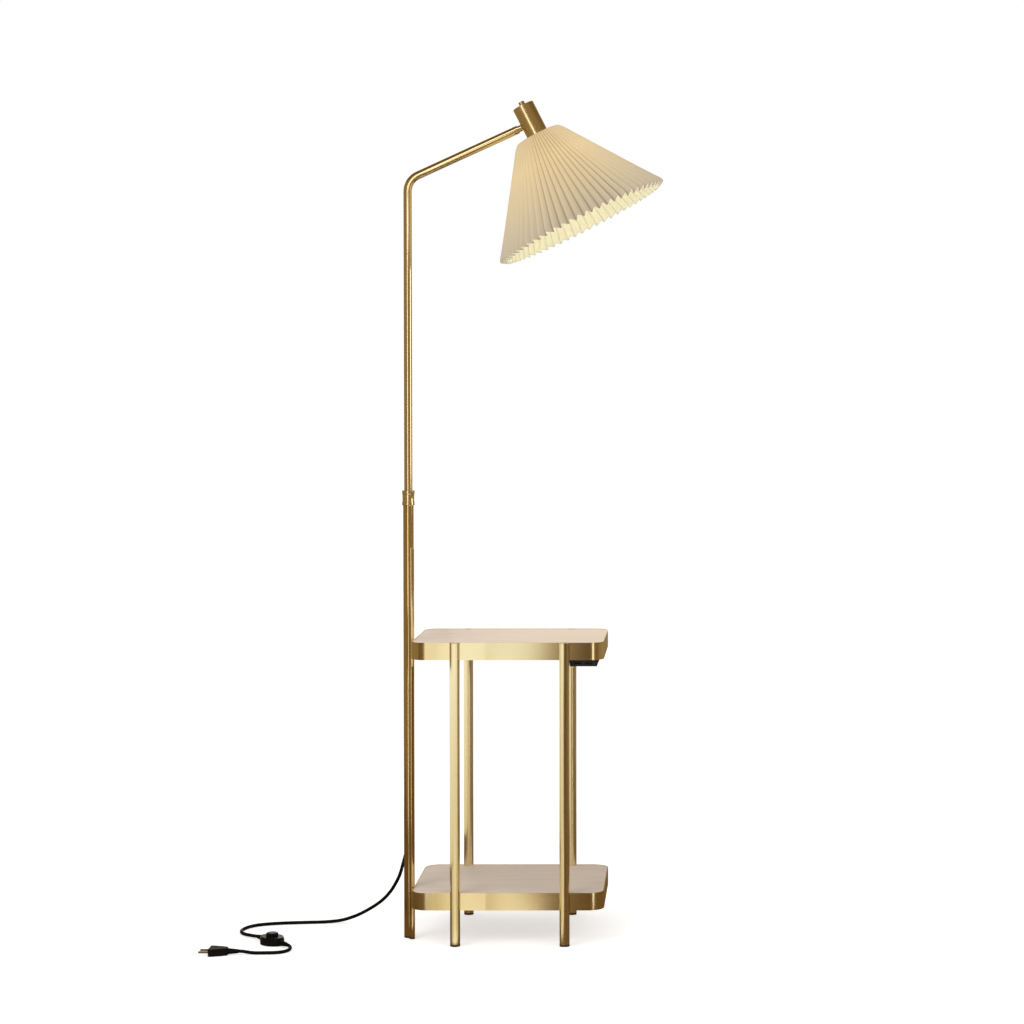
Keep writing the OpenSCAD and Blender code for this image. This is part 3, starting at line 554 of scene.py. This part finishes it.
# The charger: a flat case of black moulded plastic, screwed under the upper shelf at its right
# front, with two sockets in its face, each with a contact tongue.
case_plastic = rubber("case_plastic", (0.018, 0.018, 0.019), 0.4)
eased("charger_case", "base", case_plastic, 0.9 * MM, 3)

# The foot switch: two oval half shells of black plastic under a round button, with a tapered
# relief at each end, and the flat plug with its two pins and its own relief. The pieces on each
# cord are gathered in a list.
jet_plastic = rubber("jet_plastic", (0.005, 0.005, 0.005), 0.36, 0.2)
on_upper = [eased(shell, "base", jet_plastic, 1.0 * MM, 3)
            for shell in ("switch_base", "switch_cover")]
on_upper.append(eased("switch_button", "button", jet_plastic, 0.8 * MM, 3))
on_lower = [eased("plug_body", "base", jet_plastic, 1.6 * MM, 3)]
dress(flex_rubber, "switch_reliefs", "plug_relief")
on_upper += [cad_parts[name] for name in ("cord_grommet", "switch_reliefs", "switch_screws")]
on_lower += [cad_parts[name] for name in ("plug_relief", "plug_pins")]

# The room: a white studio. The world is plain white to the eye and to the metal, softer as a
# light, and one large soft lamp stands on each side of the camera. The cards round the lamp
# give the brass its light and dark stripes, and nothing but gloss sees them.
world = bpy.data.worlds.new("studio")
world.use_nodes = True
sky = world.node_tree
paths = sky.nodes.new("ShaderNodeLightPath")
seen = sky.nodes.new("ShaderNodeMath")
seen.operation = "MAXIMUM"
seen_too = sky.nodes.new("ShaderNodeMath")
seen_too.operation = "MAXIMUM"
power = sky.nodes.new("ShaderNodeMapRange")
power.inputs["To Min"].default_value = 0.62
power.inputs["To Max"].default_value = 1.0
sky.links.new(paths.outputs["Is Camera Ray"], seen.inputs[0])
sky.links.new(paths.outputs["Is Glossy Ray"], seen.inputs[1])
sky.links.new(seen.outputs["Value"], seen_too.inputs[0])
sky.links.new(paths.outputs["Is Transmission Ray"], seen_too.inputs[1])
sky.links.new(seen_too.outputs["Value"], power.inputs["Value"])
sky.nodes["Background"].inputs["Color"].default_value = (1, 1, 1, 1)
sky.links.new(power.outputs["Result"], sky.nodes["Background"].inputs["Strength"])
scene.world = world


def soft_lamp(name, place, aim, size, watts):
    """A large soft lamp, which the metal doesn't mirror, because the cards shape its gloss."""
    data = bpy.data.lights.new(name, "AREA")
    data.shape = "SQUARE"
    data.size = size
    data.energy = watts
    lamp = bpy.data.objects.new(name, data)
    lamp.location = place
    lamp.rotation_euler = (Vector(aim) - Vector(place)).to_track_quat("-Z", "Y").to_euler()
    lamp.visible_glossy = False
    scene.collection.objects.link(lamp)


soft_lamp("left_lamp", (-1.6, -2.2, 2.6), (0.2, 0.0, 0.9), 1.8, 34)
soft_lamp("right_lamp", (2.2, -2.4, 2.4), (0.2, 0.0, 0.9), 1.8, 16)


def card(name, corner, run, rise, strength, tint, back=None, foot=None):
    """A flat card that only gloss sees. It can fade to the colour foot at its lower edge."""
    mesh = bpy.data.meshes.new(name)
    panel = bmesh.new()
    low, run, rise = Vector(corner), Vector(run), Vector(rise)
    panel.faces.new([panel.verts.new(p) for p in (low, low + run, low + run + rise, low + rise)])
    panel.to_mesh(mesh)
    panel.free()
    obj = bpy.data.objects.new(name, mesh)
    scene.collection.objects.link(obj)
    mat = bpy.data.materials.new(name)
    mat.use_nodes = True
    tree = mat.node_tree
    surface = tree.nodes["Material Output"].inputs["Surface"]
    tree.nodes.remove(tree.nodes["Principled BSDF"])
    glow = tree.nodes.new("ShaderNodeEmission")
    glow.inputs["Color"].default_value = (*tint, 1)
    glow.inputs["Strength"].default_value = strength
    if foot:
        place = tree.nodes.new("ShaderNodeTexCoord")
        height = tree.nodes.new("ShaderNodeSeparateXYZ")
        fade = tree.nodes.new("ShaderNodeMapRange")
        fade.inputs["From Min"].default_value = low.z
        fade.inputs["From Max"].default_value = low.z + rise.z
        colour = tree.nodes.new("ShaderNodeMix")
        colour.data_type = "RGBA"
        colour.inputs["A"].default_value = (*foot, 1)
        colour.inputs["B"].default_value = (*tint, 1)
        tree.links.new(place.outputs["Object"], height.inputs["Vector"])
        tree.links.new(height.outputs["Z"], fade.inputs["Value"])
        tree.links.new(fade.outputs["Result"], colour.inputs["Factor"])
        tree.links.new(colour.outputs["Result"], glow.inputs["Color"])
    tree.links.new(glow.outputs["Emission"], surface)
    if back:
        rear = tree.nodes.new("ShaderNodeEmission")
        rear.inputs["Color"].default_value = (*back, 1)
        side = tree.nodes.new("ShaderNodeNewGeometry")
        either = tree.nodes.new("ShaderNodeMixShader")
        tree.links.new(side.outputs["Backfacing"], either.inputs["Fac"])
        tree.links.new(glow.outputs["Emission"], either.inputs[1])
        tree.links.new(rear.outputs["Emission"], either.inputs[2])
        tree.links.new(either.outputs["Shader"], surface)
    mesh.materials.append(mat)
    obj.visible_camera = False
    obj.visible_diffuse = False
    obj.visible_shadow = False
    obj.visible_transmission = False


umber = (0.15, 0.088, 0.032)
bister = (0.075, 0.042, 0.013)
tawny = (0.27, 0.19, 0.09)
cream = (1.0, 0.96, 0.88)
pale = (1.0, 0.99, 0.97)
clear = (0.95, 1.0, 1.04)
honey = (0.62, 0.54, 0.34)
amber = (0.73, 0.66, 0.50)
toffee = (0.55, 0.42, 0.23)
table_y = -0.45
studio_y = -1.2
far_high = (0, 0, 2.6)
near_high = (0, 0, 0.62)
card("table_low_glow", (0.03, table_y, 0), (0.17, 0, 0), (0, 0, 0.14), 1.0, (0.99, 0.93, 0.80))
card("table_low_edge", (0.20, table_y, 0), (0.035, 0, 0), (0, 0, 0.14), 1.0, toffee)
card("table_glow", (0.03, table_y, 0.14), (0.16, 0, 0), (0, 0, 0.32), 1.0, pale, foot=amber)
card("table_high_glow", (0.03, table_y, 0.46), (0.204, 0, 0), (0, 0, 0.16), 1.12, clear)
card("table_high_edge", (0.234, table_y, 0.46), (0.028, 0, 0), (0, 0, 0.16), 1.0, toffee)
card("post_foot_glow", (-0.06, table_y, 0), (0.09, 0, 0), (0, 0, 0.06), 1.05, cream)
card("post_low_glow", (-0.06, table_y, 0.06), (0.09, 0, 0), (0, 0, 0.38), 0.45, cream)
card("post_high_glow", (-0.06, table_y, 0.44), (0.09, 0, 0), (0, 0, 0.18), 1.15, cream)
card("table_flag", (0.18, -0.451, 0), (0.149, 0, 0), near_high, 1.0, umber)
card("corner_flag", (0.329, table_y, 0), (0.276, 0, 0), near_high, 1.0, bister)
card("corner_glow", (0.605, table_y, 0), (0.10, 0, 0), near_high, 2.2, cream)
card("right_flag", (0.705, table_y, 0), (0.6, 0.3, 0), near_high, 1.0, umber)
card("post_shield", (0.03, table_y, 0), (0, 0.27, 0), near_high, 1.02, pale, back=umber, foot=honey)
card("leg_glow", (0.03, -0.18, 0.14), (0, 0.17, 0), (0, 0, 0.38), 1.0, pale, back=umber, foot=amber)
card("leg_top_glow", (0.055, -0.30, 0.48), (0, 0.205, 0), (0, 0, 0.12), 1.0, cream)
card("leg_foot_glow", (0.055, -0.30, 0), (0, 0.205, 0), (0, 0, 0.14), 1.0, amber, foot=honey)
card("between_glow", (0.15, -0.30, 0), (0, 0.20, 0), near_high, 0.98, pale, foot=honey)
card("right_leg_flag", (0.37, -0.20, 0), (0, 0.105, 0), near_high, 1.0, umber)
card("rear_leg_glow", (0.135, 0.10, 0.15), (0.055, 0, 0), (0, 0, 0.33), 1.02, pale, foot=amber)
card("rear_leg_side_glow", (0.03, 0.05, 0.15), (0, 0.12, 0), (0, 0, 0.37), 1.0, pale, foot=amber)
card("rear_leg_edge_glow", (0.03, 0.17, 0.15), (0, 0.45, 0), (0, 0, 0.37), 1.0, pale,
     back=umber, foot=amber)
card("cap_glow", (0.05, 0.30, 0.577), (0.34, 0, 0), (0, 0, 0.06), 1.0, cream)
card("upper_corner_flag", (-0.06, table_y, 0.48), (0, 0.33, 0), (0, 0, 0.12), 1.0, umber)
card("lower_corner_flag", (-0.06, table_y, 0), (0, 0.33, 0), (0, 0, 0.14), 1.0, umber)
card("arm_glow", (0.078, table_y, 1.306), (0.178, 0, 0.094), (-0.061, 0, 0.121), 1.5, cream)
card("front_flag", (-0.02, studio_y, 0), (1.24, 0, 0), far_high, 1.0, tawny)
card("left_strip", (-0.28, studio_y, 0), (0.26, 0, 0), far_high, 2.0, cream)
card("left_flag", (-2.10, -0.60, 0), (1.82, -0.60, 0), far_high, 1.0, tawny)
card("left_side_flag", (-2.10, 1.40, 0), (0, -2.0, 0), far_high, 1.0, tawny)
card("right_front_flag", (1.22, studio_y, 0), (0.64, 0.80, 0), far_high, 1.0, tawny)
card("right_low_flag", (1.86, -0.40, 0), (0.04, 0.48, 0), (0, 0, 0.80), 1.0, tawny)
card("right_strip", (1.86, -0.40, 0.80), (0.04, 0.48, 0), (0, 0, 0.95), 3.2, cream)
card("right_upper_flag", (1.86, -0.40, 1.75), (0.04, 0.48, 0), (0, 0, 0.85), 1.5, tawny)
card("right_side_flag", (1.90, 0.08, 0), (0.06, 1.24, 0), far_high, 1.0, tawny)
card("ceiling_flag", (-2.10, -1.30, 2.6), (4.1, 0, 0), (0, 3.0, 0), 1.0, umber)
card("rear_left_flag", (-2.10, 1.40, 0), (1.5, 0.3, 0), far_high, 1.0, tawny)
card("rear_strip", (-0.60, 1.70, 0), (0.45, 0, 0), far_high, 1.5, cream)
card("rear_right_flag", (-0.15, 1.70, 0), (2.0, -0.4, 0), far_high, 1.0, tawny)
card("floor_flag", (-2.1, -0.44, 0.001), (4.0, 0, 0), (0, 1.8, 0), 1.0, umber)
card("front_floor_flag", (-2.1, -1.2, 0.001), (4.0, 0, 0), (0, 0.76, 0), 1.0, umber)
card("corner_floor_glow", (0.545, -0.336, 0.002), (0.085, 0, 0), (0.068, -0.114, 0), 2.2, cream)
card("floor_glow", (0.0, -0.44, 0.002), (0.242, 0, 0), (0, 0.34, 0), 1.0, cream)

# The floor: plain and pale without edges. To the eye it is as white as the room behind it, and
# it keeps the lamp's soft shadow.
floor_mesh = bpy.data.meshes.new("floor")
ground = bmesh.new()
floor_reach = 20
bmesh.ops.create_grid(ground, x_segments=1, y_segments=1, size=floor_reach)
ground.to_mesh(floor_mesh)
ground.free()
floor = bpy.data.objects.new("floor", floor_mesh)
scene.collection.objects.link(floor)
floor_paint = bpy.data.materials.new("floor_paint")
floor_paint.use_nodes = True
tree = floor_paint.node_tree
paint = tree.nodes["Principled BSDF"]
paint.inputs["Base Color"].default_value = (0.8, 0.8, 0.8, 1)
paint.inputs["Roughness"].default_value = 0.9
paint.inputs["Emission Color"].default_value = (1, 1, 1, 1)
sight = tree.nodes.new("ShaderNodeLightPath")
lift = tree.nodes.new("ShaderNodeMapRange")
lift.inputs["To Max"].default_value = 0.52
eye_or_metal = tree.nodes.new("ShaderNodeMath")
eye_or_metal.operation = "MAXIMUM"
tree.links.new(sight.outputs["Is Camera Ray"], eye_or_metal.inputs[0])
tree.links.new(sight.outputs["Is Glossy Ray"], eye_or_metal.inputs[1])
tree.links.new(eye_or_metal.outputs["Value"], lift.inputs["Value"])
tree.links.new(lift.outputs["Result"], paint.inputs["Emission Strength"])
floor_mesh.materials.append(floor_paint)
